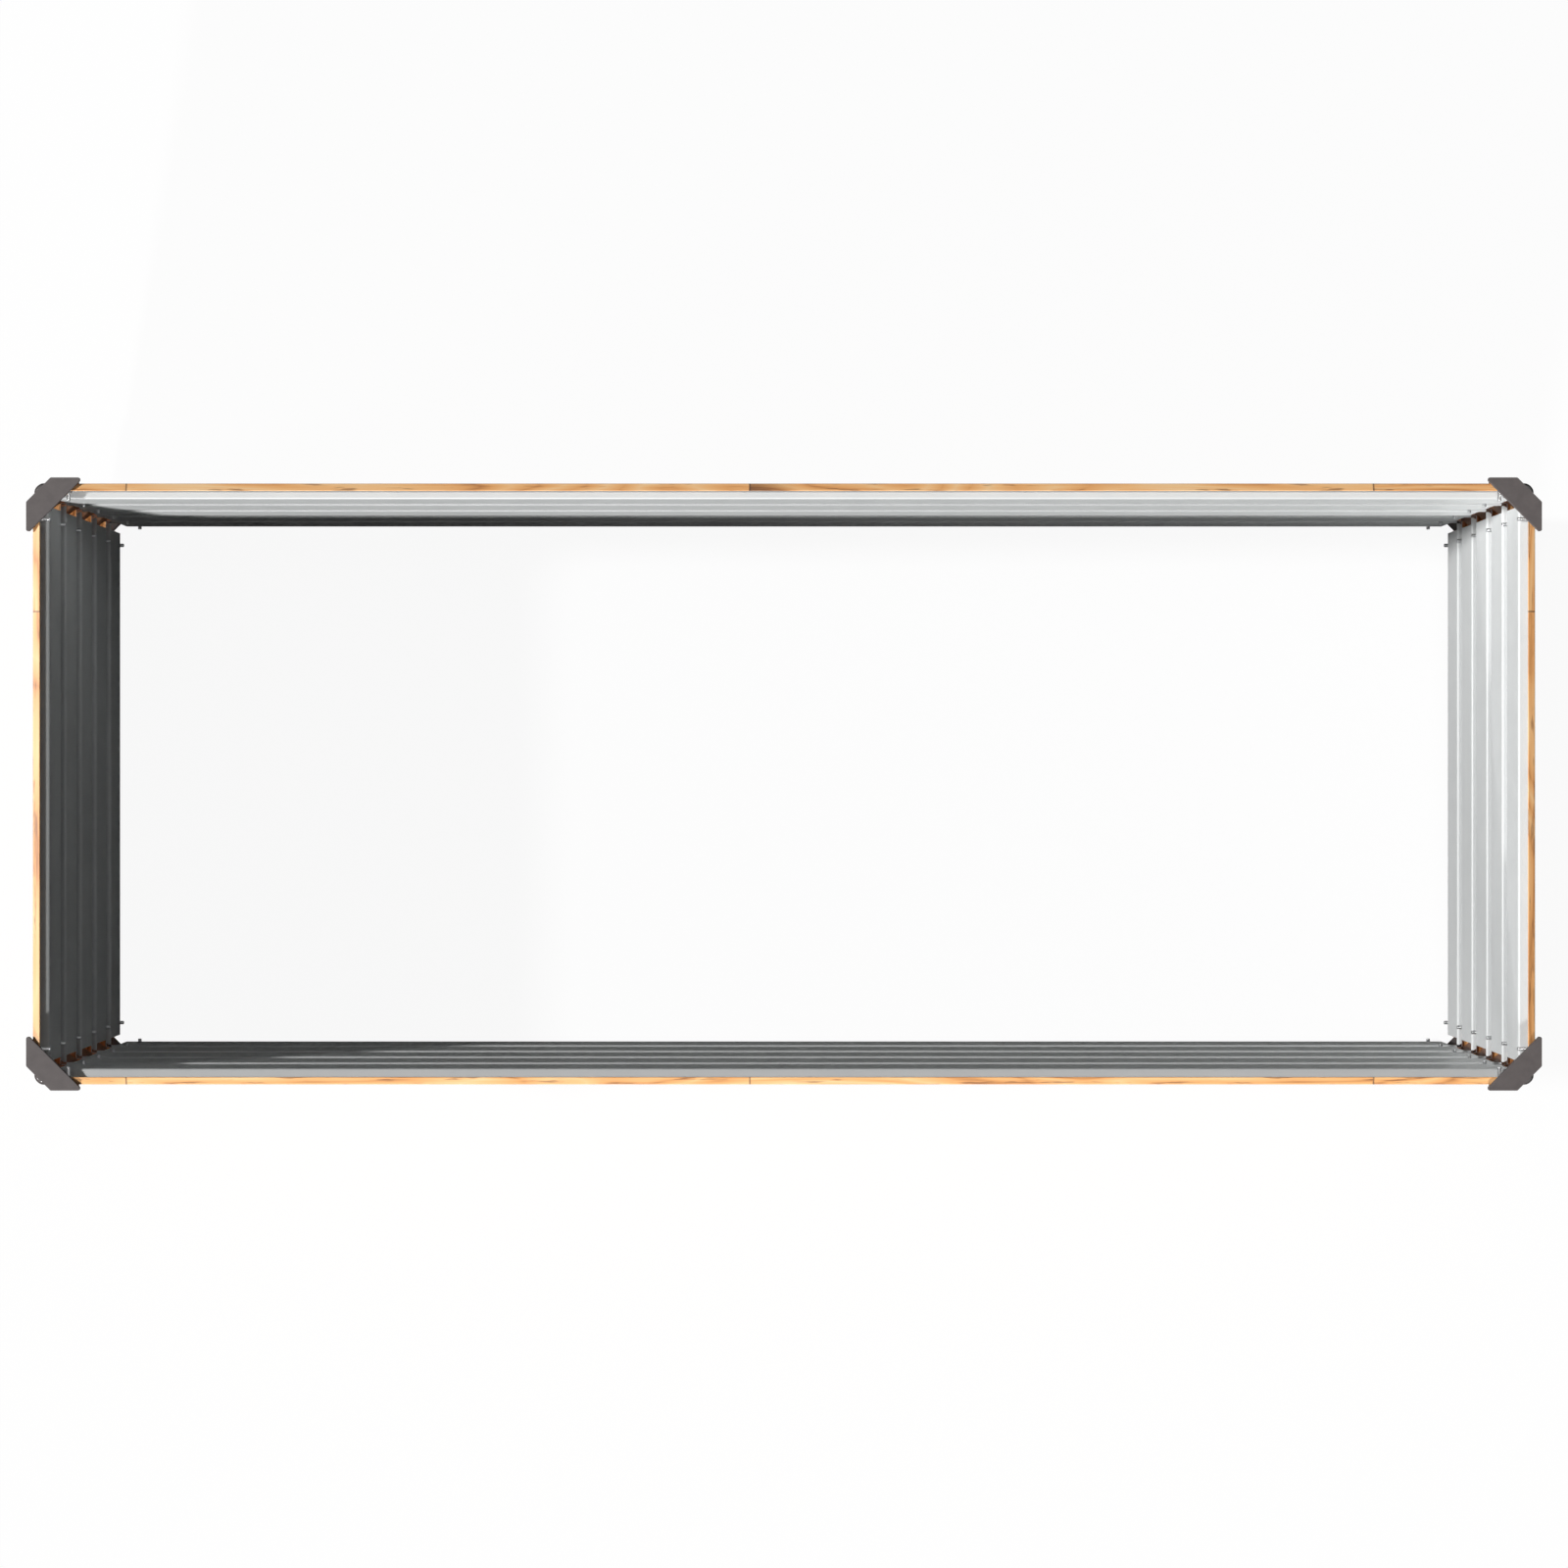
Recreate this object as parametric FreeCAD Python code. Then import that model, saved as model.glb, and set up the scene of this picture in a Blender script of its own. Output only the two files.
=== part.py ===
import FreeCAD, Part
import math
import os

from FreeCAD import Vector

# A raised garden bed with no floor: four ribbed steel panels, four bent corner posts bolted outside them,
# a plastic cap and a plastic foot at each corner, and the bolts and screws that hold it together.
# Sizes are in millimetres. The bed stands on Z = 0, with its middle over the origin and its long side on X.

# Overall size of the panels
bed_length = 2000.0         # over the outer faces of the two end panels
bed_width = 800.0           # over the outer faces of the two long panels
panel_height = 450.0

# The ribbed panels. A rib stands outwards, so that it is a channel on the inside.
panel_sheet = 0.6           # thickness of the steel
rib_spacings = 5            # rib spacings in the height of a panel, with half a rib at the top and bottom
rib_depth = 20.0            # from the outer face of the ribs to the inner face of the flats
rib_mouth = 27.0            # height of a channel at the inner face
rib_back = 21.0             # height of a rib at its outer face
back_bend = 1.1             # bend radius at the outer face, to the middle of the sheet
mouth_bend = 3.0            # bend radius at the inner face, to the middle of the sheet
rim_width = 10.0            # the top and bottom edges are turned inwards by this much
hem_length = 4.0            # length of the fold that makes the edge of a rim safe to touch
hem_gap = 0.4               # space inside that fold
rib_end_gap = 0.5           # from the end of a rib to the inner face of the next panel
flat_setback = 30.0         # from the end of a flat to the outer face of the next panel
nip_setback = 25.0          # where the cut-back end of the lowest half rib starts, measured the same way

# The corner posts
post_sheet = 0.8
post_leg = 60.0             # from the corner where the panels' outer faces would meet
post_facet = 19.8           # from that same corner to the inner face of the cut-off corner
post_bend = 2.0             # bend radius to the middle of the sheet

# The plastic caps and feet
plastic_wall = 2.5          # thickness of the skirts
plastic_plate = 3.0         # thickness of a cap's top and of a foot's sole
skirt_height = 55.0         # whole height of a cap or a foot
skirt_leg = 71.5            # length of each leg, measured along the outside
skirt_bend = 2.0            # bend radius at the cut-off corner, to the middle of the wall
leg_bend = 1.4              # bend radius at the ends of the legs, to the middle of the wall
leg_slope = 14.0            # how far the end of a leg slopes back over the height of the skirt
cap_cover = 43.0            # from the corner where the panels meet to the cap's inner edge
edge_round = 1.0            # rounding of the cap's top edge
lip_round = 1.5             # rounding of the corners at the ends of a cap or a foot's legs
sole_shelf = 6.0            # how far a foot's sole reaches in under the panels
head_gap = 0.3              # between a bolt head and the skirt outside it
facet_gap = 1.6             # between a bolt head's layer and the skirt at the cut-off corner
post_gap = 0.2              # between the post and the foot's inner wall
foot_gap = 0.8              # between the foot's inner wall and the ends of the panels

# The fasteners
bolt_diameter = 5.0
bolt_length = 25.0          # under the head
bolt_setback = 47.0         # from the bolt to the outer face of the next panel
rim_bolt_drop = 5.5         # from the top or bottom edge of a panel to the bolt nearest to it
bolt_head_diameter = 9.5
bolt_head_height = 3.0
socket_width = 3.0          # the hexagon in a bolt head, across its flats
socket_depth = 1.6
washer_diameter = 10.0
washer_thickness = 1.0
nut_width = 8.0             # across the flats
nut_height = 4.0
nut_bevel = 0.6
thread_gap = 0.1            # on the diameter, between a thread and its nut
hole_gap = 0.5              # on the diameter, between a shank and the hole that it passes through

# The large screws in the cut-off corners of the caps
dome_diameter = 22.0
dome_height = 9.5
dome_rim = 1.5              # height of the straight part under the dome
screw_length = 20.0         # under the head
screw_drop = 24.0           # from the cap's top to the middle of the screw
boss_wall = 3.5             # round the screw, between the skirt and the post

UP = Vector(0, 0, 1)
ORIGIN = Vector(0, 0, 0)
ALONG = Vector(1, 0, 0)
QUARTER = 90.0
SMALLEST = 1e-6             # no straight piece of a section is drawn shorter than this

# Places that follow from the sizes
half_length = bed_length / 2
half_width = bed_width / 2
panel_foot = plastic_plate
panel_top = panel_foot + panel_height
cap_top = panel_top + plastic_plate
rib_pitch = panel_height / rib_spacings
stack = post_sheet + washer_thickness + bolt_head_height
skirt_offset = stack + head_gap + plastic_wall
skirt_facet = post_facet - post_sheet - facet_gap - bolt_head_height + head_gap - plastic_wall
skirt_end = skirt_leg - skirt_offset
foot_wall_near = post_facet + post_gap
foot_wall_far = foot_wall_near + plastic_wall
hole_radius = (bolt_diameter + hole_gap) / 2
bolt_heights = [panel_foot + rim_bolt_drop]
bolt_heights += [panel_foot + rib_pitch * rib for rib in range(1, rib_spacings)]
bolt_heights += [panel_top - rim_bolt_drop]
screw_height = cap_top - screw_drop

# A corner is drawn once, with the corner point at the origin and the bed on the side of +X and +Y
INWARDS = Vector(1, 1, 0).normalize()
CORNERS = (
    ("front_left", -half_length, -half_width, 0),
    ("front_right", half_length, -half_width, 1),
    ("back_right", half_length, half_width, 2),
    ("back_left", -half_length, half_width, 3),
)

# A wall is drawn once, facing -Y, with its outer face in the plane Y = 0
WALLS = (
    ("front", half_length, half_width, 0),
    ("right", half_width, half_length, 1),
    ("back", half_length, half_width, 2),
    ("left", half_width, half_length, 3),
)


def diagonal(distance):
    """Where a 45 degree line at this distance from the corner point meets each side of the corner."""
    return distance / math.cos(math.radians(QUARTER / 2))


def line(start, end):
    return Part.LineSegment(start, end).toShape()


def prism(corners, height):
    """An upright prism with straight sides."""
    points = [Vector(x, y, 0) for x, y in corners]
    return Part.Face(Part.makePolygon(points + points[:1])).extrude(UP * height)


def bend_at(before, corner, after, radius):
    """Where a bend starts and ends, its centre, and which way it turns: +1 is to the left."""
    arriving = (corner - before).normalize()
    leaving = (after - corner).normalize()
    reach = radius * math.tan(arriving.getAngle(leaving) / 2)
    turn = math.copysign(1.0, arriving.cross(leaving).z)
    centre = corner - arriving * reach + UP.cross(arriving) * (turn * radius)
    return arriving, leaving, reach, centre, turn


def side_edges(route, bends, offset):
    """The edges of one side of a folded strip, offset to the left of its middle line."""
    edges = []
    here = route[0] + UP.cross((route[1] - route[0]).normalize()) * offset
    for before, corner, after, radius in zip(route, route[1:], route[2:], bends):
        arriving, leaving, reach, centre, turn = bend_at(before, corner, after, radius)
        start = corner - arriving * reach + UP.cross(arriving) * offset
        end = corner + leaving * reach + UP.cross(leaving) * offset
        middle = centre + (corner - centre).normalize() * (radius - turn * offset)
        if (start - here).Length > SMALLEST:
            edges.append(line(here, start))
        edges.append(Part.Arc(start, middle, end).toShape())
        here = end
    last = route[-1] + UP.cross((route[-1] - route[-2]).normalize()) * offset
    edges.append(line(here, last))
    return edges, last


def strip_outline(corners, bends, thickness, level):
    """The outline of a strip folded along a line of corners, with a bend radius at each."""
    route = [Vector(x, y, level) for x, y in corners]
    left, left_end = side_edges(route, bends, thickness / 2)
    right, right_end = side_edges(route, bends, -thickness / 2)
    left_start = left[0].firstVertex().Point
    right_start = right[0].firstVertex().Point
    return Part.Wire(left + [line(left_end, right_end)] + right[::-1] + [line(right_start, left_start)])


def folded_strip(corners, bends, thickness, height):
    """An upright folded strip."""
    return Part.Face(strip_outline(corners, bends, thickness, 0)).extrude(UP * height)


def rounded_plate(corners, radii, thickness):
    """A flat plate whose corners are rounded, each by its own radius."""
    points = [Vector(x, y, 0) for x, y in corners]
    count = len(points)
    starts = []
    arcs = []
    ends = []
    for index, radius in enumerate(radii):
        corner = points[index]
        following = points[(index + 1) % count]
        arriving, leaving, reach, centre, turn = bend_at(points[index - 1], corner, following, radius)
        starts.append(corner - arriving * reach)
        ends.append(corner + leaving * reach)
        middle = centre + (corner - centre).normalize() * radius
        arcs.append(Part.Arc(starts[-1], middle, ends[-1]).toShape())
    edges = []
    for index, arc in enumerate(arcs):
        edges.append(arc)
        edges.append(line(ends[index], starts[(index + 1) % count]))
    return Part.Face(Part.Wire(edges)).extrude(UP * thickness)


def to_corner(shape, corner):
    """Carry a piece drawn at the origin to one corner of the bed."""
    name, x, y, quarters = corner
    placed = shape.copy()
    placed.rotate(ORIGIN, UP, QUARTER * quarters)
    placed.translate(Vector(x, y, 0))
    return placed


def to_wall(shape, wall):
    """Carry a panel drawn along X to one side of the bed."""
    name, half_span, reach, quarters = wall
    placed = shape.copy()
    placed.translate(Vector(0, -reach, 0))
    placed.rotate(ORIGIN, UP, QUARTER * quarters)
    return placed


def write(name, shape):
    """Write one sub-part to its file, and say how many solids it has."""
    shape.exportStep("parts/" + name + ".step")
    print(name, "solids", len(shape.Solids), "volume", round(shape.Volume), "valid", shape.isValid())


def crossing(across, along, height, reach):
    """A hole through the wall that lies along X, or along Y, long enough to pass both of its faces."""
    direction = UP.cross(ALONG) if across else ALONG
    place = Vector(along, -reach, height) if across else Vector(-reach, along, height)
    return Part.makeCylinder(hole_radius, 2 * reach, place, direction)


# ---------------------------------------------------------------- panels

def rib_route():
    """The middle line of the panel's section: distance inwards, then height."""
    outer = panel_sheet / 2
    inner = rib_depth - panel_sheet / 2
    fold = (panel_sheet + hem_gap) / 2
    nose = rim_width - panel_sheet / 2
    hem_end = nose - hem_length
    low = panel_sheet / 2
    high = panel_height - panel_sheet / 2
    route = [(hem_end, low + 2 * fold), (nose, low + 2 * fold), (nose, low), (outer, low)]
    bends = [fold, fold, back_bend]
    for rib in range(rib_spacings):
        middle = rib * rib_pitch
        following = middle + rib_pitch
        route += [(outer, middle + rib_back / 2), (inner, middle + rib_mouth / 2)]
        route += [(inner, following - rib_mouth / 2), (outer, following - rib_back / 2)]
        bends += [back_bend, mouth_bend, mouth_bend, back_bend]
    route += [(outer, high), (nose, high), (nose, high - 2 * fold), (hem_end, high - 2 * fold)]
    bends += [back_bend, fold, fold]
    return route, bends


def panel(half_span):
    """A ribbed panel along X, with its outer face in the plane Y = 0."""
    rib_end = half_span - rib_depth - rib_end_gap
    flat_end = half_span - flat_setback
    route, bends = rib_route()
    shape = folded_strip(route, bends, panel_sheet, 2 * rib_end)
    shape.rotate(ORIGIN, UP, QUARTER)
    shape.rotate(ORIGIN, UP.cross(ALONG), QUARTER)
    shape.translate(Vector(-rib_end, 0, panel_foot))
    trim = diagonal(foot_wall_far + foot_gap)
    inside = rib_depth + panel_sheet
    nip_height = rib_mouth / 2 + mouth_bend
    cutters = []
    for side in (-1, 1):
        corner = side * half_span
        outside = side * (half_span - trim - panel_sheet)
        nip = side * (half_span - nip_setback)
        nip_end = side * (half_span - flat_setback)
        meeting = side * (half_span - trim + inside)
        wedge = prism([(corner, -panel_sheet), (outside, -panel_sheet), (corner, trim)], panel_height)
        triangle = [(nip, trim - nip_setback), (nip_end, rib_depth), (nip_end, inside), (meeting, inside)]
        nipped = prism(triangle, nip_height)
        cutters.append(wedge.translate(UP * panel_foot))
        cutters.append(nipped.translate(UP * panel_foot))
        notch_start = min(side * flat_end, corner)
        for rib in range(rib_spacings):
            bottom = panel_foot + rib * rib_pitch + rib_mouth / 2 + mouth_bend
            tall = rib_pitch - rib_mouth - 2 * mouth_bend
            place = Vector(notch_start, rib_depth - 2 * panel_sheet, bottom)
            cutters.append(Part.makeBox(flat_setback, 4 * panel_sheet, tall, place))
        for height in bolt_heights:
            cutters.append(crossing(True, side * (half_span - bolt_setback), height, 2 * panel_sheet))
    return shape.cut(cutters)


# ---------------------------------------------------------------- corner posts

def screw_rod(radius, near, far):
    """A rod along the cap's screw, between two distances from the corner point."""
    return Part.makeCylinder(radius, far - near, INWARDS * near + UP * screw_height, INWARDS)


def post():
    """A bent angle with a cut-off corner, outside the panels."""
    leg_line = -post_sheet / 2
    facet_start = diagonal(post_facet - post_sheet / 2) - leg_line
    route = [(post_leg, leg_line), (facet_start, leg_line), (leg_line, facet_start), (leg_line, post_leg)]
    shape = folded_strip(route, [post_bend, post_bend], post_sheet, panel_height)
    shape.translate(UP * panel_foot)
    holes = []
    for height in bolt_heights:
        for across in (True, False):
            holes.append(crossing(across, bolt_setback, height, 2 * post_sheet))
    holes.append(screw_rod(hole_radius, post_facet - 2 * post_sheet, post_facet + post_sheet))
    return shape.cut(holes)


# ---------------------------------------------------------------- caps and feet

facet_round = skirt_bend + plastic_wall / 2
leg_round = leg_bend + plastic_wall / 2
facet_start = diagonal(skirt_facet) + skirt_offset
lip_start = diagonal(cap_cover) - skirt_end


def skirt_outline(setback, level):
    """The outline of the wall round the outside of a corner, with its two ends set back."""
    middle = -skirt_offset + plastic_wall / 2
    facet = diagonal(skirt_facet + plastic_wall / 2) - middle
    end = skirt_end - plastic_wall / 2 - setback
    lip = lip_start - lip_round
    route = [(end, lip), (end, middle), (facet, middle), (middle, facet), (middle, end), (lip, end)]
    return strip_outline(route, [leg_bend, skirt_bend, skirt_bend, leg_bend], plastic_wall, level)


def skirt(low_setback, high_setback, level):
    """The wall round the outside of a corner, from one level up, with sloping ends."""
    low = skirt_outline(low_setback, level)
    high = skirt_outline(high_setback, level + skirt_height)
    return Part.makeLoft([low, high], True, True)


def cap():
    """The cap: a flat top over the panel ends, with a skirt down the outside."""
    corners = [(-skirt_offset, facet_start), (facet_start, -skirt_offset), (skirt_end, -skirt_offset)]
    corners += [(skirt_end, lip_start), (lip_start, skirt_end), (-skirt_offset, skirt_end)]
    radii = [facet_round, facet_round, leg_round, lip_round, lip_round, leg_round]
    plate = rounded_plate(corners, radii, plastic_plate)
    top_edges = [edge for edge in plate.Edges if edge.BoundBox.ZMin > plastic_plate / 2]
    plate = plate.makeFillet(edge_round, top_edges)
    plate.translate(UP * (cap_top - plastic_plate))
    walls = skirt(leg_slope, 0, cap_top - skirt_height)
    boss = screw_rod(hole_radius + boss_wall, skirt_facet + plastic_wall / 2, post_facet - post_sheet)
    shape = plate.fuse([walls, boss]).removeSplitter()
    return shape.cut(screw_rod(hole_radius, 0, post_facet))


def foot():
    """The foot: a flat sole under the panel ends, a skirt outside and a wall inside the post."""
    inner_start = diagonal(foot_wall_far) - sole_shelf
    corners = [(-skirt_offset, facet_start), (facet_start, -skirt_offset), (skirt_end, -skirt_offset)]
    corners += [(skirt_end, sole_shelf), (inner_start, sole_shelf), (sole_shelf, inner_start)]
    corners += [(sole_shelf, skirt_end), (-skirt_offset, skirt_end)]
    radii = [facet_round, facet_round, leg_round] + [lip_round] * 4 + [leg_round]
    sole = rounded_plate(corners, radii, plastic_plate)
    near_end = diagonal(foot_wall_near) - post_gap
    far_end = diagonal(foot_wall_far) - post_gap
    strip = [(near_end, post_gap), (far_end, post_gap), (post_gap, far_end), (post_gap, near_end)]
    inner = prism(strip, skirt_height)
    return sole.fuse([skirt(0, leg_slope, 0), inner]).removeSplitter()


# ---------------------------------------------------------------- fasteners, drawn along +X from the head

def across_corners(width):
    """The width of a hexagon over its corners, from the width over its flats."""
    return width / math.cos(math.pi / 6)


def hexagon(width, length):
    """A hexagonal rod along +X, with two of its flats level."""
    first = Vector(0, across_corners(width) / 2, 0)
    corners = []
    for step in range(7):
        corners.append(FreeCAD.Rotation(ALONG, math.degrees(math.tau / 6) * step).multVec(first))
    return Part.Face(Part.makePolygon(corners)).extrude(ALONG * length)


def turned(profile):
    """A solid turned about X from a half section, given as distances along X and from X."""
    points = [Vector(x, r, 0) for x, r in profile]
    return Part.Face(Part.makePolygon(points + points[:1])).revolve(ORIGIN, ALONG, 4 * QUARTER)


def domed_head(diameter, height, rim):
    """A domed head on the side of -X, with a short straight rim next to X = 0."""
    radius = diameter / 2
    rise = height - rim
    ball = (radius * radius + rise * rise) / (2 * rise)
    half_angle = math.asin(min(1.0, radius / ball)) / 2
    on_arc = Vector(ball - height - ball * math.cos(half_angle), ball * math.sin(half_angle), 0)
    edge = Vector(-rim, radius, 0)
    tip = Vector(-height, 0, 0)
    base = Vector(0, radius, 0)
    loop = [line(ORIGIN, base), line(base, edge), Part.Arc(edge, on_arc, tip).toShape(), line(tip, ORIGIN)]
    return Part.Face(Part.Wire(loop)).revolve(ORIGIN, ALONG, 4 * QUARTER)


def shank(length):
    """A plain shank with a bevelled end."""
    radius = bolt_diameter / 2
    bevel = bolt_diameter / 10
    return turned([(0, 0), (0, radius), (length - bevel, radius), (length, radius - bevel), (length, 0)])


def panel_bolt():
    head = domed_head(bolt_head_diameter, bolt_head_height, bolt_head_height / 4)
    socket = hexagon(socket_width, socket_depth)
    socket.translate(Vector(-bolt_head_height, 0, 0))
    return head.fuse(shank(bolt_length)).removeSplitter().cut(socket)


def corner_screw():
    return domed_head(dome_diameter, dome_height, dome_rim).fuse(shank(screw_length)).removeSplitter()


def washer():
    disc = Part.makeCylinder(washer_diameter / 2, washer_thickness, ORIGIN, ALONG)
    return disc.cut(Part.makeCylinder(hole_radius, washer_thickness, ORIGIN, ALONG))


def nut():
    """A hexagonal nut with bevelled corners."""
    corner_radius = across_corners(nut_width) / 2
    flat_radius = nut_width / 2
    profile = [(0, 0), (0, flat_radius), (nut_bevel, corner_radius)]
    profile += [(nut_height - nut_bevel, corner_radius), (nut_height, flat_radius), (nut_height, 0)]
    rounding = turned(profile)
    bore = Part.makeCylinder((bolt_diameter + thread_gap) / 2, nut_height, ORIGIN, ALONG)
    return hexagon(nut_width, nut_height).common(rounding).cut(bore)


def along_wall(piece, start, height, across):
    """Turn a fastener to point inwards through one leg of a corner, starting at a distance from its face."""
    placed = piece.copy()
    if across:
        placed.rotate(ORIGIN, UP, QUARTER)
        placed.translate(Vector(bolt_setback, start, height))
    else:
        placed.translate(Vector(start, bolt_setback, height))
    return placed


def along_facet(piece, start):
    """Turn a fastener to point inwards through the cut-off corner, at the height of the cap's screw."""
    placed = piece.copy()
    placed.rotate(ORIGIN, UP, QUARTER / 2)
    placed.translate(INWARDS * start + UP * screw_height)
    return placed


def both_legs(piece, start):
    """One fastener at every bolt height of both legs of a corner."""
    placed = []
    for across in (True, False):
        for height in bolt_heights:
            placed.append(along_wall(piece, start, height, across))
    return Part.makeCompound(placed)


# ---------------------------------------------------------------- the bed

os.makedirs("parts", exist_ok=True)

for wall in WALLS:
    write("panel_" + wall[0], to_wall(panel(wall[1]), wall))

corner_pieces = {
    "post": post(),
    "cap": cap(),
    "foot": foot(),
    "cap_screw": along_facet(corner_screw(), skirt_facet),
    "cap_screw_nut": along_facet(nut(), post_facet),
    "panel_bolts": both_legs(panel_bolt(), -post_sheet - washer_thickness),
    "panel_washers": both_legs(washer(), -post_sheet - washer_thickness),
    "panel_nuts": both_legs(nut(), panel_sheet),
}

for corner in CORNERS:
    for name, piece in corner_pieces.items():
        write(name + "_" + corner[0], to_corner(piece, corner))
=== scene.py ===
import math

import bpy
from mathutils import Matrix, Vector


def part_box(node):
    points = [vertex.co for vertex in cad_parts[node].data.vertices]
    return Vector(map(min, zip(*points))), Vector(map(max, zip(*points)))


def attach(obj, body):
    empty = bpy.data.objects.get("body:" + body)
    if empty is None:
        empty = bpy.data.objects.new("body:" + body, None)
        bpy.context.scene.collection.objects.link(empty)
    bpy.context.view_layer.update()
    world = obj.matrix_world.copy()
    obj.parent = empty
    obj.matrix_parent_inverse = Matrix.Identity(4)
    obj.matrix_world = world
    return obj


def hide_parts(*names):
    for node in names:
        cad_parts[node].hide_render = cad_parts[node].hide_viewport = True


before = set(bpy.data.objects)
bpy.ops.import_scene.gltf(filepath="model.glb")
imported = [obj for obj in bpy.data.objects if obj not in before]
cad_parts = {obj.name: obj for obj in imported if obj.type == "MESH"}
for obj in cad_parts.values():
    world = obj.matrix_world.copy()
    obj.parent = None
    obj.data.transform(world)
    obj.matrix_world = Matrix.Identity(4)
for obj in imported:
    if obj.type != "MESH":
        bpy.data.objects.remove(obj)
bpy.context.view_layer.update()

# A raised garden bed seen from straight above. The ribbed panels are drawn here as bent sheets with a
# printed outside and a grey-coated inside, and the caps' large screws as smooth domes. Everything else
# keeps its solid and gets a finish. Sizes are in metres.

BODY = "root"
MM = 0.001
QUARTER = math.radians(90)

# The panels' section
SHEET = 0.6 * MM
RIB_SPACINGS = 5
RIB_MOUTH = 27.0 * MM
RIB_BACK = 21.0 * MM
BACK_BEND = 1.1 * MM
MOUTH_BEND = 3.0 * MM
RIM_WIDTH = 10.0 * MM
HEM_LENGTH = 4.0 * MM
HEM_GAP = 0.4 * MM
RIB_END_GAP = 0.5 * MM
FLAT_SETBACK = 30.0 * MM
TRIM = 32.95 * MM             # where a panel's end is cut off at 45 degrees, clear of the foot's inner wall
NIP = 25.0 * MM               # where the cut-back end of the lowest half rib starts
RIM_DROP = 2.5 * MM           # how far the top rim slopes down towards its outer edge
TOP_FOLD = 0.8                # bend radius of the top hem, as a share of the foot's
BEND_STEPS = 6                # straight pieces in each bend
FLAT_STEPS = 6                # rows of faces up each flat
EDGE_ROW = 0.4 * MM           # a thin row of faces beside each bend keeps the flat parts looking flat
LEAST_FLAT = 20.0 * MM        # a straight part on the inner plane is a flat if it is taller than this
STATION_STEP = 25.0 * MM      # length of the faces along a panel
TOUCHING = 0.001 * MM         # points nearer than this are one point
CRISP = 35.0                  # degrees: sharper bends than this keep a crisp edge

# The camera hangs this far above the top edge of the panels
CAMERA_DROP = 3.961
CAMERA_LENS = 68.36           # mm, on a sensor SENSOR wide
SENSOR = 36.0
CAMERA_REACH = 100.0
PANEL_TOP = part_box("panel_front")[1][2]


# ---------------------------------------------------------------- small helpers for materials

LOOKS_IN = -0.1               # a face whose normal leans this far towards the middle of the bed looks in


class Shading:
    """One node material, with short calls to add and join its nodes."""

    def __init__(self, name):
        self.material = bpy.data.materials.new(name)
        self.material.use_nodes = True
        self.nodes = self.material.node_tree.nodes
        self.links = self.material.node_tree.links
        self.nodes.clear()
        self.output = self.nodes.new("ShaderNodeOutputMaterial")

    def add(self, kind, inputs=None, **settings):
        node = self.nodes.new("ShaderNode" + kind)
        for key, value in settings.items():
            setattr(node, key, value)
        for key, value in (inputs or {}).items():
            self.plug(value, node.inputs[key])
        return node

    def plug(self, value, socket):
        if isinstance(value, bpy.types.NodeSocket):
            self.links.new(value, socket)
        else:
            socket.default_value = value

    def math(self, operation, first, second=0.0, third=0.0):
        node = self.add("Math", operation=operation)
        for value, socket in zip((first, second, third), node.inputs):
            self.plug(value, socket)
        return node.outputs[0]

    def ramp(self, factor, stops):
        node = self.add("ValToRGB", {"Fac": factor})
        elements = node.color_ramp.elements
        while len(elements) < len(stops):
            elements.new(0.5)
        for element, (position, colour) in zip(elements, stops):
            element.position = position
            element.color = (*colour, 1.0)
        return node.outputs["Color"]

    def mix(self, factor, first, second, blend="MIX"):
        node = self.add("Mix", data_type="RGBA", blend_type=blend)
        self.plug(factor, node.inputs["Factor"])
        self.plug(first, node.inputs[6])
        self.plug(second, node.inputs[7])
        return node.outputs[2]

    def noise(self, vector, scale, detail=4.0, roughness=0.55, distortion=0.0):
        inputs = {"Vector": vector, "Scale": scale, "Detail": detail}
        inputs.update({"Roughness": roughness, "Distortion": distortion})
        return self.add("TexNoise", inputs).outputs["Fac"]

    def place(self):
        """Where a point lies on the object, in metres."""
        return self.add("TexCoord").outputs["Object"]

    def scaled(self, vector, scale, shift=(0.0, 0.0, 0.0)):
        return self.add("Mapping", {"Vector": vector, "Scale": scale, "Location": shift}).outputs[0]

    def facing_in(self):
        """1 on faces that look towards the middle of the bed, and 0 on those that look outwards."""
        east, north, _ = self.add("SeparateXYZ", {"Vector": self.place()}).outputs
        outwards = self.add("CombineXYZ", {"X": self.math("SIGN", east), "Y": self.math("SIGN", north)})
        normal = self.add("NewGeometry").outputs["Normal"]
        product = self.add("VectorMath", {0: normal, 1: outwards.outputs[0]}, operation="DOT_PRODUCT")
        return self.math("LESS_THAN", product.outputs["Value"], LOOKS_IN)

    def random(self, number):
        """A fixed random value for each number."""
        return self.add("TexWhiteNoise", {"W": number}, noise_dimensions="1D").outputs["Value"]

    def bump(self, height, distance, strength=1.0):
        return self.add("Bump", {"Height": height, "Distance": distance, "Strength": strength}).outputs[0]

    def surface(self, **inputs):
        shader = self.add("BsdfPrincipled")
        for key, value in inputs.items():
            self.plug(value, shader.inputs[key.replace("_", " ")])
        self.links.new(shader.outputs[0], self.output.inputs["Surface"])
        return self.material


def rgb(red, green, blue):
    return (red, green, blue, 1.0)


# ---------------------------------------------------------------- materials

BOARD_HEIGHT = 0.090
BOARD_LENGTH = 0.83
FIRST_SEAM = 0.055            # height of the lowest joint between boards
SEAM = 0.0022                 # width of a joint
SEAM_DEPTH = 0.7              # how much of a joint's dark colour shows

# The print's marks to the metre, along the grain and twice across it
RINGS = (1.4, 11.0, 11.0)
FIBRES = (9.0, 420.0, 420.0)
BLOTCHES = (5.0, 22.0, 22.0)
KNOTS = (2.6, 9.0, 9.0)
CRACKS = (14.0, 170.0, 170.0)

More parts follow.
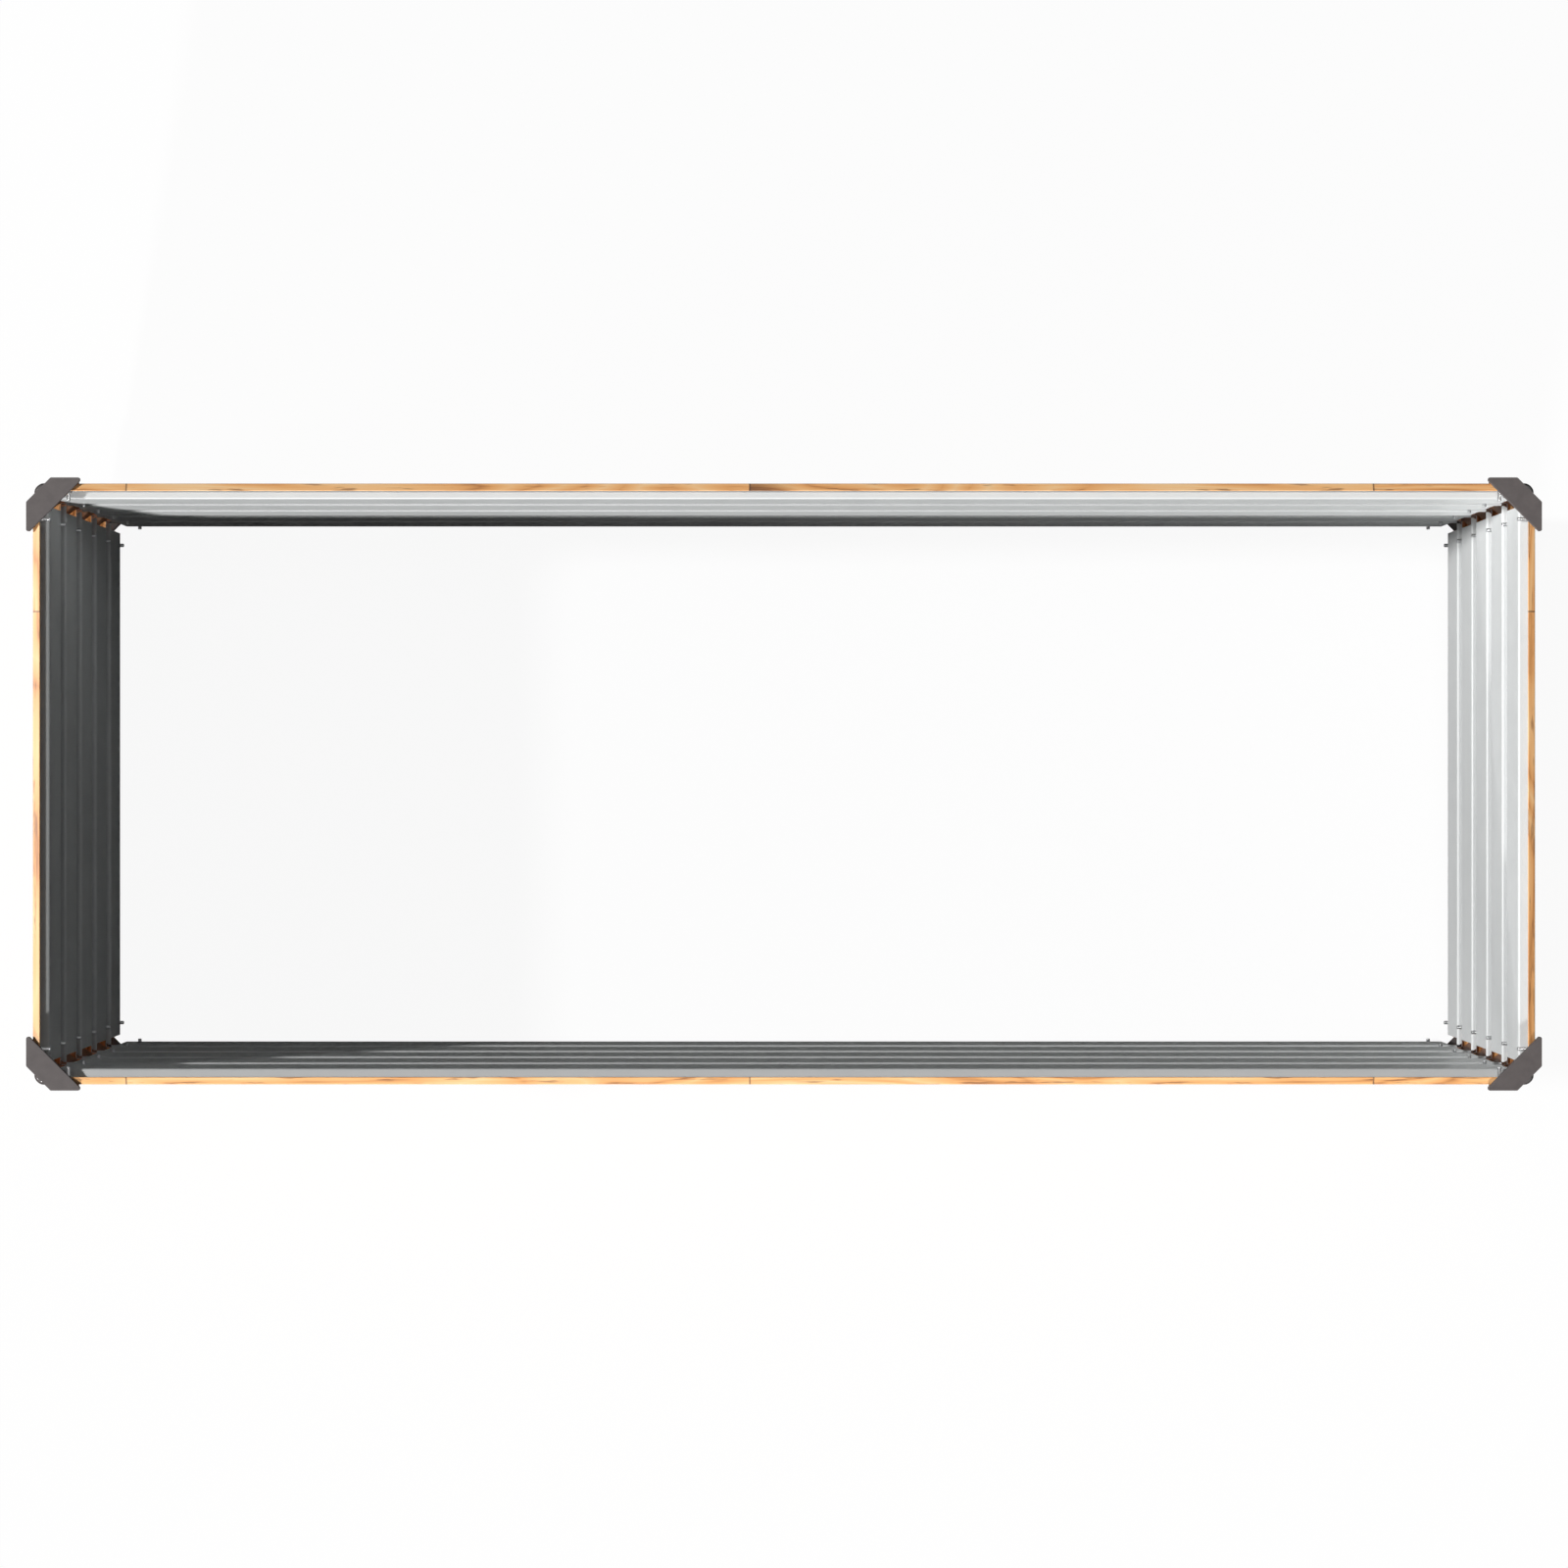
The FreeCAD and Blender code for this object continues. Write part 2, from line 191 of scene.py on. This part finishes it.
WOOD_TONES = [
    (0.12, (0.170, 0.058, 0.020)),
    (0.26, (0.500, 0.205, 0.062)),
    (0.42, (0.840, 0.410, 0.150)),
    (0.66, (0.950, 0.540, 0.235)),
    (0.92, (0.985, 0.690, 0.380)),
]


def wood_print(name, axis, shift, seams=1.0, painted_shade_inside=False):
    """Printed wood look: boards with rings, fibres, knots and dark seams, and the grain along one axis,
    with painted shade on the faces that look into the bed if asked.
    """
    s = Shading(name)
    x, y, z = s.add("SeparateXYZ", {"Vector": s.place()}).outputs
    along, across, rise = {"X": (x, y, z), "Y": (y, x, z), "Z": (z, x, y)}[axis]

    # which row and board a point lies on, and that board's own tone
    level = s.math("DIVIDE", s.math("SUBTRACT", rise, FIRST_SEAM), BOARD_HEIGHT)
    row = s.math("FLOOR", level)
    row_start = s.math("MULTIPLY", s.random(s.math("ADD", row, shift)), 7.0)
    run = s.math("ADD", s.math("DIVIDE", along, BOARD_LENGTH), row_start)
    board = s.math("ADD", s.math("MULTIPLY", row, 17.0), s.math("FLOOR", run))
    tone = s.random(s.math("ADD", board, shift))
    moved = s.math("ADD", along, s.math("MULTIPLY", tone, 9.0))
    grain = s.add("CombineXYZ", {"X": moved, "Y": across, "Z": rise}).outputs[0]

    # rings, fibres and blotches add up to the light and dark of the wood
    field = s.noise(s.scaled(grain, RINGS), 1.1, 2.5, 0.45, 0.5)
    rings = s.math("PINGPONG", s.math("MULTIPLY", field, 15.0), 0.5)
    fibres = s.noise(s.scaled(grain, FIBRES), 1.0, 3.0, 0.6)
    blotches = s.noise(s.scaled(grain, BLOTCHES), 1.0, 3.0, 0.6)
    shade = s.math("ADD", s.math("MULTIPLY", rings, 0.75), s.math("MULTIPLY", fibres, 0.42))
    shade = s.math("ADD", shade, s.math("MULTIPLY", blotches, 0.52))
    shade = s.math("ADD", shade, s.math("MULTIPLY", tone, 0.22))
    colour = s.ramp(s.math("SUBTRACT", shade, 0.30), WOOD_TONES)

    # knots, short dark cracks and the joints between boards
    spots = s.add("TexVoronoi", {"Vector": s.scaled(grain, KNOTS), "Scale": 1.0, "Randomness": 1.0})
    clear = s.math("SMOOTH_MIN", s.math("MULTIPLY", spots.outputs["Distance"], 5.0), 1.0, 0.2)
    colour = s.mix(s.math("SUBTRACT", 1.0, clear), colour, rgb(0.105, 0.042, 0.018))
    cracks = s.noise(s.scaled(grain, CRACKS, (3.1, 0.0, 0.0)), 1.0, 3.0, 0.6)
    crack = s.math("MULTIPLY", s.math("SUBTRACT", cracks, 0.585), 14.0)
    crack = s.add("Clamp", {"Value": crack}).outputs[0]
    colour = s.mix(s.math("MULTIPLY", crack, 0.62), colour, rgb(0.200, 0.072, 0.026))
    edge = s.math("LESS_THAN", s.math("FRACT", level), SEAM / BOARD_HEIGHT)
    butt = s.math("LESS_THAN", s.math("FRACT", run), SEAM / BOARD_LENGTH)
    seam = s.math("MULTIPLY", s.math("MAXIMUM", edge, butt), SEAM_DEPTH * seams)
    colour = s.mix(seam, colour, rgb(0.070, 0.030, 0.015))
    # painted shade: faces that look into the bed are multiplied down to a dull dark brown
    if painted_shade_inside:
        dark = s.mix(1.0, colour, rgb(0.21, 0.19, 0.26), "MULTIPLY")
        colour = s.mix(s.facing_in(), colour, dark)

    relief = s.bump(s.math("ADD", fibres, s.noise(s.place(), 1400.0, 2.0)), 0.00010, 0.35)
    roughness = s.math("ADD", 0.40, s.math("MULTIPLY", blotches, 0.16))
    return s.surface(Base_Color=colour, Roughness=roughness, Normal=relief)


def grey_coat():
    """The light grey coat on the inside of the panels, with a faint mottle and rolling streaks."""
    s = Shading("grey_coat")
    mottle = s.noise(s.place(), 30.0, 5.0, 0.6)
    speckle = s.noise(s.place(), 1100.0, 2.0, 0.5)
    streaks = s.noise(s.scaled(s.place(), (1.2, 1.2, 320.0)), 1.0, 2.0, 0.5)
    shade = s.math("ADD", s.math("MULTIPLY", mottle, 0.45), s.math("MULTIPLY", speckle, 0.25))
    shade = s.math("ADD", shade, s.math("MULTIPLY", streaks, 0.30))
    colour = s.ramp(shade, [(0.25, (0.575, 0.590, 0.590)), (0.75, (0.640, 0.650, 0.648))])
    relief = s.bump(speckle, 0.00004, 0.25)
    rough = s.math("ADD", 0.34, s.math("MULTIPLY", mottle, 0.14))
    return s.surface(Base_Color=colour, Roughness=rough, Normal=relief)


def cut_edge():
    """The bare steel at the cut edges of the sheet."""
    s = Shading("cut_edge")
    shade = s.noise(s.place(), 700.0, 3.0)
    colour = s.ramp(shade, [(0.3, (0.36, 0.37, 0.38)), (0.7, (0.55, 0.56, 0.57))])
    return s.surface(Base_Color=colour, Metallic=1.0, Roughness=0.42)


def moulded(name, roughness, gloss, grain_height):
    """Taupe moulded plastic with a fine spark-eroded grain, and a gloss of its own where it is polished."""
    s = Shading(name)
    grain = s.noise(s.place(), 1900.0, 2.0, 0.5)
    cloud = s.noise(s.place(), 70.0, 4.0, 0.6)
    colour = s.ramp(cloud, [(0.3, (0.072, 0.061, 0.060)), (0.7, (0.092, 0.079, 0.077))])
    relief = s.bump(grain, grain_height, 0.6)
    rough = s.math("ADD", roughness, s.math("MULTIPLY", grain, 0.10))
    polish = {"Coat_Weight": gloss, "Coat_Roughness": 0.08}
    return s.surface(Base_Color=colour, Roughness=rough, Normal=relief, **polish)


def plating(s, tint):
    """The colour of zinc plating with a little dulling, and the pattern of that dulling."""
    dull = s.noise(s.place(), 260.0, 4.0, 0.6)
    low = tuple(0.80 * value for value in tint)
    return s.ramp(dull, [(0.3, low), (0.7, tint)]), dull


def zinc(name, tint):
    """Zinc-plated steel with fine turning marks."""
    s = Shading(name)
    colour, dull = plating(s, tint)
    fine = s.noise(s.place(), 2600.0, 2.0, 0.5)
    rough = s.math("ADD", 0.24, s.math("MULTIPLY", dull, 0.20))
    return s.surface(Base_Color=colour, Metallic=1.0, Roughness=rough, Normal=s.bump(fine, 0.00003, 0.3))


THREAD_PITCH = 0.8 * MM
BOLT_ZONE = 40 * MM           # the bolts of a long wall lie within this distance of its outer face


def threaded(name, tint):
    """Zinc-plated bolts: the shanks, which point across the walls, carry the ridges of a thread."""
    s = Shading(name)
    x, y, _ = s.add("SeparateXYZ", {"Vector": s.place()}).outputs
    east, north = s.math("ABSOLUTE", x), s.math("ABSOLUTE", y)
    post_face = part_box("post_back_right")[1]
    on_long_wall = s.math("GREATER_THAN", north, post_face[1] - BOLT_ZONE)
    along = s.mix(on_long_wall, east, north)
    past_east = s.math("SUBTRACT", east, post_face[0])
    past_north = s.math("SUBTRACT", north, post_face[1])
    outside = s.math("GREATER_THAN", s.mix(on_long_wall, past_east, past_north), 0.0)
    turns = s.math("SINE", s.math("MULTIPLY", along, math.tau / THREAD_PITCH))
    ridges = s.math("MULTIPLY", turns, s.math("SUBTRACT", 1.0, outside))
    colour, dull = plating(s, tint)
    rough = s.math("ADD", 0.22, s.math("MULTIPLY", dull, 0.20))
    return s.surface(Base_Color=colour, Metallic=1.0, Roughness=rough, Normal=s.bump(ridges, 0.00022, 0.9))


# ---------------------------------------------------------------- panels

def bent(route, bends):
    """The middle line of the section, with its bends drawn as arcs, as (depth, height) points."""
    points = [Vector(route[0])]
    for before, corner, after, radius in zip(route, route[1:], route[2:], bends):
        before, corner, after = Vector(before), Vector(corner), Vector(after)
        arriving = (corner - before).normalized()
        leaving = (after - corner).normalized()
        angle = arriving.angle_signed(leaving)
        reach = radius * math.tan(abs(angle) / 2)
        side = Vector((-arriving.y, arriving.x)) * (-1.0 if angle > 0 else 1.0)
        centre = corner - arriving * reach + side * radius
        spoke = (corner - arriving * reach) - centre
        for step in range(BEND_STEPS + 1):
            turn = Matrix.Rotation(-angle * step / BEND_STEPS, 2)
            points.append(centre + turn @ spoke)
    points.append(Vector(route[-1]))
    return points


def section(depth, height):
    """The section of a ribbed panel, from the hem at its foot to the hem at its sloping top."""
    outer = SHEET / 2
    inner = depth - SHEET / 2
    fold = (SHEET + HEM_GAP) / 2
    nose = RIM_WIDTH - SHEET / 2
    hem_end = nose - HEM_LENGTH
    low = SHEET / 2
    high = height - SHEET / 2
    pitch = height / RIB_SPACINGS
    route = [(hem_end, low + 2 * fold), (nose, low + 2 * fold), (nose, low), (outer, low)]
    bends = [fold, fold, BACK_BEND]
    for rib in range(RIB_SPACINGS):
        middle = rib * pitch
        following = middle + pitch
        route += [(outer, middle + RIB_BACK / 2), (inner, middle + RIB_MOUTH / 2)]
        route += [(inner, following - RIB_MOUTH / 2), (outer, following - RIB_BACK / 2)]
        bends += [BACK_BEND, MOUTH_BEND, MOUTH_BEND, BACK_BEND]
    hem_drop = RIM_DROP * HEM_LENGTH / RIM_WIDTH
    under = high - 2 * fold
    route += [(outer, high - RIM_DROP), (nose, high), (nose, under), (hem_end, under - hem_drop)]
    bends += [BACK_BEND, fold * TOP_FOLD, fold * TOP_FOLD]
    return bent(route, bends)


def with_rows(points, inner):
    """Divide the straight parts into rows of faces: each point, and whether it starts a row of a flat."""
    rows = []
    for here, after in zip(points, points[1:]):
        tall = (after - here).length
        upright = abs(here.x - inner) < TOUCHING and abs(after.x - inner) < TOUCHING
        on_flat = upright and tall > LEAST_FLAT
        rows.append((here, on_flat))
        if tall > 4 * EDGE_ROW:
            edge = EDGE_ROW / tall
            steps = FLAT_STEPS if on_flat else 1
            shares = [edge, *(step / steps for step in range(1, steps)), 1 - edge]
            rows += [(here.lerp(after, share), on_flat) for share in shares]
    rows.append((points[-1], False))
    return rows


def stations(end):
    """Evenly spaced places along a panel, from one end to the other."""
    count = max(2, round(2 * end / STATION_STEP))
    return [-end + 2 * end * step / count for step in range(count + 1)]


def panel_mesh(name, half_span, depth, height):
    """The sheet of one panel along X: its outer face in the plane Y = 0 and its foot at Z = 0."""
    inner = depth - SHEET / 2
    rows = with_rows(section(depth, height), inner)
    rib_end = half_span - depth - RIB_END_GAP
    flat_end = half_span - FLAT_SETBACK
    plain = stations(half_span - TRIM - MM)
    nip_depth = TRIM - NIP
    nip_slope = (FLAT_SETBACK - NIP) / (depth - nip_depth)
    verts = []
    index = {}

    def vert(row, along):
        key = (row, round(along, 7))
        if key not in index:
            point = rows[row][0]
            index[key] = len(verts)
            verts.append((along, point.x, point.y))
        return index[key]

    def ends(row):
        """The stations of one row: the plain ones, the end of the flats, and the end of the ribs."""
        point = rows[row][0]
        reach = min(rib_end, half_span - TRIM + point.x)
        if point.y < RIB_MOUTH / 2 + MOUTH_BEND and point.x > nip_depth:
            reach = min(reach, half_span - NIP - (point.x - nip_depth) * nip_slope)
        return [-reach, -min(reach, flat_end), *plain, min(reach, flat_end), reach]

    faces = []
    for row in range(len(rows) - 1):
        here, after = ends(row), ends(row + 1)
        last = len(here) - 2
        for column in range(last + 1):
            if rows[row][1] and column in (0, last):
                continue
            ring = [vert(row, here[column]), vert(row, here[column + 1])]
            ring += [vert(row + 1, after[column + 1]), vert(row + 1, after[column])]
            corners = list(dict.fromkeys(ring))
            if len(corners) > 2:
                faces.append(corners)
    mesh = bpy.data.meshes.new(name)
    mesh.from_pydata(verts, [], faces)
    mesh.update()
    return mesh


# A panel's materials, counted from the printed outside
INSIDE = 1
EDGE = 2


def thickened(piece):
    """Give a sheet its thickness, keep the result, and keep the folds crisp."""
    modifier = piece.modifiers.new("sheet", "SOLIDIFY")
    modifier.thickness = SHEET
    modifier.offset = 0.0
    modifier.use_even_offset = True
    modifier.material_offset = INSIDE
    modifier.material_offset_rim = EDGE
    evaluated = piece.evaluated_get(bpy.context.evaluated_depsgraph_get())
    mesh = bpy.data.meshes.new_from_object(evaluated)
    piece.modifiers.clear()
    piece.data = mesh
    mesh.shade_smooth()
    mesh.set_sharp_from_angle(angle=math.radians(CRISP))


def build_panel(side, quarters, materials):
    """One panel, carried to its side of the bed, in place of its solid."""
    node = "panel_" + side
    low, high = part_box(node)
    along, through = (0, 1) if quarters % 2 == 0 else (1, 0)
    reach = max(abs(low[through]), abs(high[through]))
    depth = high[through] - low[through]
    half_span = high[along] + depth + RIB_END_GAP
    mesh = panel_mesh(node + "_sheet", half_span, depth, high[2] - low[2])
    turn = Matrix.Rotation(QUARTER * quarters, 4, "Z")
    mesh.transform(turn @ Matrix.Translation((0.0, -reach, low[2])))
    piece = bpy.data.objects.new(node + "_sheet", mesh)
    bpy.context.scene.collection.objects.link(piece)
    for material in materials:
        mesh.materials.append(material)
    bpy.context.view_layer.update()
    thickened(piece)
    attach(piece, BODY)
    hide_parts(node)


# ---------------------------------------------------------------- the caps' large screws

POST_SHEET = 0.8 * MM
SCREW_SEAT = 12.2 * MM        # from the corner where the panels meet to the seat of the head
DOME_RADIUS = 11.0 * MM
DOME_HEIGHT = 9.5 * MM
DOME_RIM = 0.6 * MM           # straight part at the seat
DOME_STEPS = 24               # straight pieces in the dome's outline
DOME_FULLNESS = 0.92          # 1 is an ellipse, and less is fuller
SHANK_RADIUS = 2.5 * MM
SHANK_LENGTH = 20.0 * MM
SHANK_BEVEL = 0.5 * MM
NECK = 0.4 * MM               # the fillet between head and shank: how far out, and then how far along
NECK_LENGTH = 0.3 * MM
ROUND_STEPS = 72
DOME_CRISP = 40.0             # degrees, as CRISP


def screw_profile():
    """Half section of the screw: a soft-edged dome and a shank, as distances along and from its axis."""
    points = [(-DOME_HEIGHT, 0.0)]
    rise = DOME_HEIGHT - DOME_RIM
    for step in range(1, DOME_STEPS):
        angle = QUARTER * step / DOME_STEPS
        out = DOME_RADIUS * math.sin(angle) ** DOME_FULLNESS
        points.append((-DOME_RIM - rise * math.cos(angle) ** DOME_FULLNESS, out))
    points += [(-DOME_RIM, DOME_RADIUS), (0.0, DOME_RADIUS)]
    points += [(0.0, SHANK_RADIUS + NECK), (NECK_LENGTH, SHANK_RADIUS)]
    points += [(SHANK_LENGTH - SHANK_BEVEL, SHANK_RADIUS), (SHANK_LENGTH, SHANK_RADIUS - SHANK_BEVEL)]
    return points + [(SHANK_LENGTH, 0.0)]


def turned_mesh(name, profile):
    """A solid turned about X from a half section whose first and last points lie on the axis."""
    verts = [(profile[0][0], 0.0, 0.0)]
    for along, radius in profile[1:-1]:
        for step in range(ROUND_STEPS):
            angle = math.tau * step / ROUND_STEPS
            verts.append((along, -radius * math.sin(angle), radius * math.cos(angle)))
    verts.append((profile[-1][0], 0.0, 0.0))
    faces = []
    last_ring = len(verts) - 1 - ROUND_STEPS
    for step in range(ROUND_STEPS):
        following = (step + 1) % ROUND_STEPS
        faces.append((0, 1 + following, 1 + step))
        for ring in range(1, last_ring, ROUND_STEPS):
            after = ring + ROUND_STEPS
            faces.append((ring + step, ring + following, after + following, after + step))
        faces.append((last_ring + step, last_ring + following, len(verts) - 1))
    mesh = bpy.data.meshes.new(name)
    mesh.from_pydata(verts, [], faces)
    mesh.update()
    return mesh


def build_screw(corner, material):
    """The screw of one cap, turned to point inwards along the corner's diagonal."""
    node = "cap_screw_" + corner
    low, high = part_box("post_" + corner)
    signs = [math.copysign(1.0, low[axis]) for axis in (0, 1)]
    faces = [max(abs(low[axis]), abs(high[axis])) - POST_SHEET for axis in (0, 1)]
    corner_point = [sign * face for sign, face in zip(signs, faces)]
    screw_low, screw_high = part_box(node)
    inwards = Vector((-signs[0], -signs[1], 0.0)).normalized()
    seat = Vector((*corner_point, (screw_low[2] + screw_high[2]) / 2)) + inwards * SCREW_SEAT
    mesh = turned_mesh(node + "_dome", screw_profile())
    mesh.transform(Matrix.Translation(seat) @ inwards.to_track_quat("X", "Z").to_matrix().to_4x4())
    mesh.materials.append(material)
    mesh.shade_smooth()
    mesh.set_sharp_from_angle(angle=math.radians(DOME_CRISP))
    piece = bpy.data.objects.new(node + "_dome", mesh)
    bpy.context.scene.collection.objects.link(piece)
    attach(piece, BODY)
    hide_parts(node)


# ---------------------------------------------------------------- finishes of the solids

def finish_node(node, material):
    """Put a material on a solid that is shown as it is."""
    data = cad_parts[node].data
    data.materials.clear()
    data.materials.append(material)


# ---------------------------------------------------------------- stage, light and camera

FLOOR_SIZE = 60.0
FLOOR_DROP = 0.5 * MM         # the floor lies this far under the feet
FLOOR_WHITE = 0.93            # share of the seen floor that is plain white; the rest shows shadows
FLOOR_SHADE = 0.06            # how light the floor is for the bed's own walls
AMBIENT = 0.035               # light from all round

# The lamps: which way the light travels, its strength, and its softness in degrees
LAMPS = {
    "key_left": ((1.40, -0.08, -1.0), 3.4, 4.0),
    "key_front": ((0.44, 2.85, -1.0), 2.9, 3.0),
    "low_left": ((0.85, 0.40, -0.28), 0.40, 12.0),
}


def build_floor():
    """A plain pale floor that still takes the bed's shadow."""
    mesh = bpy.data.meshes.new("floor")
    half = FLOOR_SIZE / 2
    corners = [(-half, -half, 0), (half, -half, 0), (half, half, 0), (-half, half, 0)]
    mesh.from_pydata(corners, [], [(0, 1, 2, 3)])
    floor = bpy.data.objects.new("floor", mesh)
    floor.location.z = -FLOOR_DROP
    bpy.context.scene.collection.objects.link(floor)
    s = Shading("floor")
    seen = s.add("LightPath").outputs["Is Camera Ray"]
    grey = s.add("BsdfDiffuse", {"Color": rgb(FLOOR_SHADE, FLOOR_SHADE, FLOOR_SHADE)}).outputs[0]
    pale = s.add("BsdfDiffuse", {"Color": rgb(0.90, 0.90, 0.90)}).outputs[0]
    glow = s.add("Emission", {"Color": rgb(1.0, 1.0, 1.0), "Strength": 1.0}).outputs[0]
    shown = s.add("MixShader", {0: FLOOR_WHITE, 1: pale, 2: glow}).outputs[0]
    both = s.add("MixShader", {0: seen, 1: grey, 2: shown}).outputs[0]
    s.links.new(both, s.output.inputs["Surface"])
    mesh.materials.append(s.material)


def build_world():
    """White where it is seen, also in reflections, and dim as a light."""
    world = bpy.data.worlds.new("studio")
    bpy.context.scene.world = world
    world.use_nodes = True
    nodes, links = world.node_tree.nodes, world.node_tree.links
    nodes.clear()
    path = nodes.new("ShaderNodeLightPath")
    dim = nodes.new("ShaderNodeBackground")
    dim.inputs["Color"].default_value = rgb(0.94, 0.97, 1.0)
    dim.inputs["Strength"].default_value = AMBIENT
    white = nodes.new("ShaderNodeBackground")
    white.inputs["Color"].default_value = rgb(1.0, 1.0, 1.0)
    white.inputs["Strength"].default_value = 1.0
    mix = nodes.new("ShaderNodeMixShader")
    output = nodes.new("ShaderNodeOutputWorld")
    shown = nodes.new("ShaderNodeMath")
    shown.operation = "MAXIMUM"
    links.new(path.outputs["Is Camera Ray"], shown.inputs[0])
    links.new(path.outputs["Is Glossy Ray"], shown.inputs[1])
    links.new(shown.outputs[0], mix.inputs[0])
    links.new(dim.outputs[0], mix.inputs[1])
    links.new(white.outputs[0], mix.inputs[2])
    links.new(mix.outputs[0], output.inputs["Surface"])


def build_lamp(name, towards, strength, softness):
    """A soft white light that comes from far away, travelling in one direction."""
    data = bpy.data.lights.new(name, "SUN")
    data.energy = strength
    data.angle = math.radians(softness)
    lamp = bpy.data.objects.new(name, data)
    lamp.rotation_euler = Vector(towards).to_track_quat("-Z", "Y").to_euler()
    bpy.context.scene.collection.objects.link(lamp)


def build_camera():
    """A camera over the middle of the bed, looking straight down."""
    data = bpy.data.cameras.new("camera")
    data.lens = CAMERA_LENS
    data.sensor_width = SENSOR
    data.clip_end = CAMERA_REACH
    camera = bpy.data.objects.new("camera", data)
    camera.location = (0.0, 0.0, PANEL_TOP + CAMERA_DROP)
    bpy.context.scene.collection.objects.link(camera)
    bpy.context.scene.camera = camera


# ---------------------------------------------------------------- the scene

build_camera()

coat = grey_coat()
edge = cut_edge()
long_print = wood_print("wood_print_long", "X", 3.0)
short_print = wood_print("wood_print_short", "Y", 11.0)
for quarters, side in enumerate(("front", "right", "back", "left")):
    outside = short_print if quarters % 2 else long_print
    build_panel(side, quarters, [outside, coat, edge])

finishes = {
    # the posts' print, with painted shade on its faces that look into the bed
    "post": wood_print("wood_print_post_painted_shade", "Z", 29.0, 0.0, True),
    "cap": moulded("cap_plastic", 0.52, 0.0, 0.00006),
    "foot": moulded("foot_plastic", 0.56, 0.0, 0.00006),
    "cap_screw_nut": zinc("zinc_nuts", (0.62, 0.64, 0.66)),
    "panel_bolts": threaded("zinc_bolts", (0.70, 0.71, 0.72)),
    "panel_washers": zinc("zinc_washers", (0.66, 0.68, 0.70)),
    "panel_nuts": zinc("zinc_panel_nuts", (0.62, 0.64, 0.66)),
}
dome_gloss = moulded("screw_head", 0.16, 0.8, 0.00001)
for corner in ("front_left", "front_right", "back_right", "back_left"):
    build_screw(corner, dome_gloss)
    for kind, material in finishes.items():
        finish_node(kind + "_" + corner, material)

build_floor()
build_world()
for name, (towards, strength, softness) in LAMPS.items():
    build_lamp(name, towards, strength, softness)
bpy.context.scene.view_settings.view_transform = "Standard"

bpy.context.view_layer.update()
